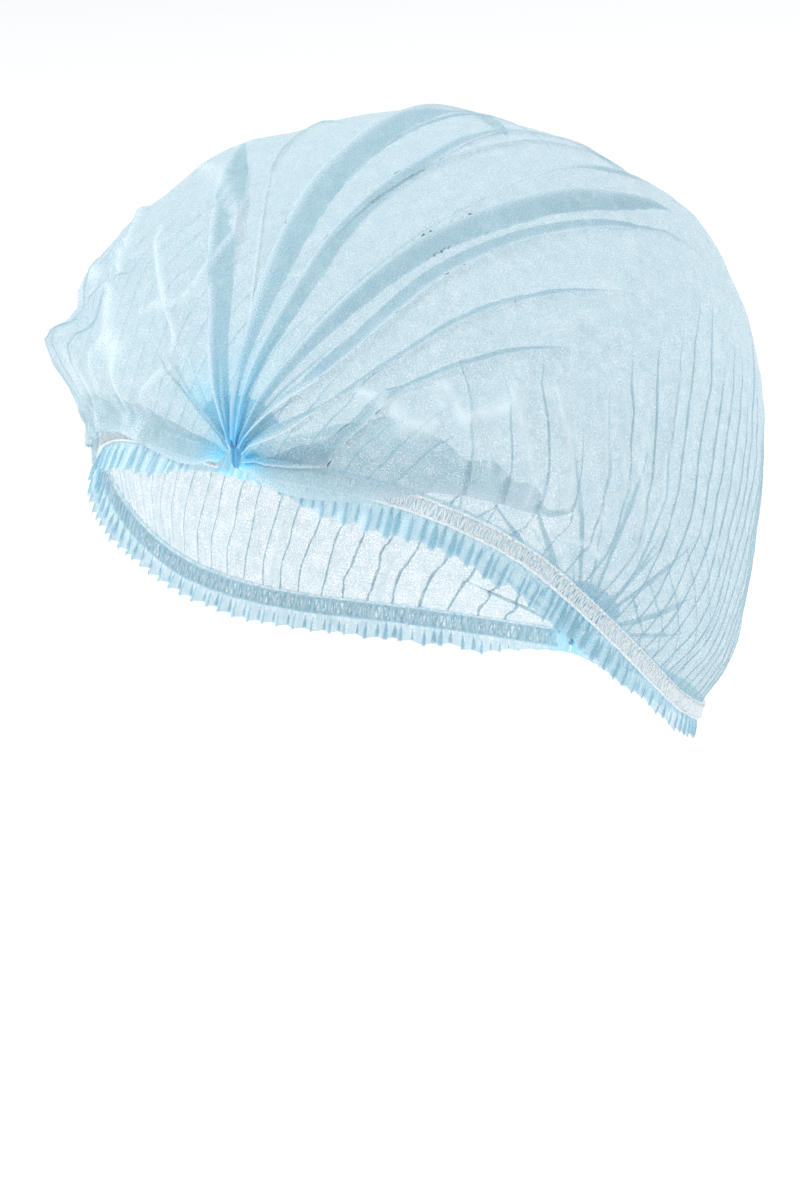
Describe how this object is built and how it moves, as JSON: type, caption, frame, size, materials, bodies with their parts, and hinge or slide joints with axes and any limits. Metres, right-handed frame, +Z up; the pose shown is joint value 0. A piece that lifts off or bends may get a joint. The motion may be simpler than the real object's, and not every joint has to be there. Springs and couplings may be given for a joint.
{
  "type": "disposable hairnet",
  "caption": "Pleated nonwoven cap in its worn form, gathered front and back, with an elastic and a frilled edge along each side of the head opening.",
  "frame": {"origin": "middle of the head opening, halfway between the front and the back gather", "axes": "+Z up as worn, the forehead faces -Y, +X to the wearer's left"},
  "size_m": [0.1776, 0.2088, 0.1888],
  "materials": {
    "cloth": "thin translucent spunbonded nonwoven, light blue",
    "packed_cloth": "many layers of the same nonwoven pressed together, sky blue",
    "elastic": "white elastic rails joined by a ladder of threads"
  },
  "bodies": {
    "root": {"crown": "cloth", "front_gather": "packed_cloth", "back_gather": "packed_cloth", "elastic_left": "elastic", "elastic_right": "elastic", "ruffle_left": "cloth", "ruffle_right": "cloth"}
  },
  "joints": []
}
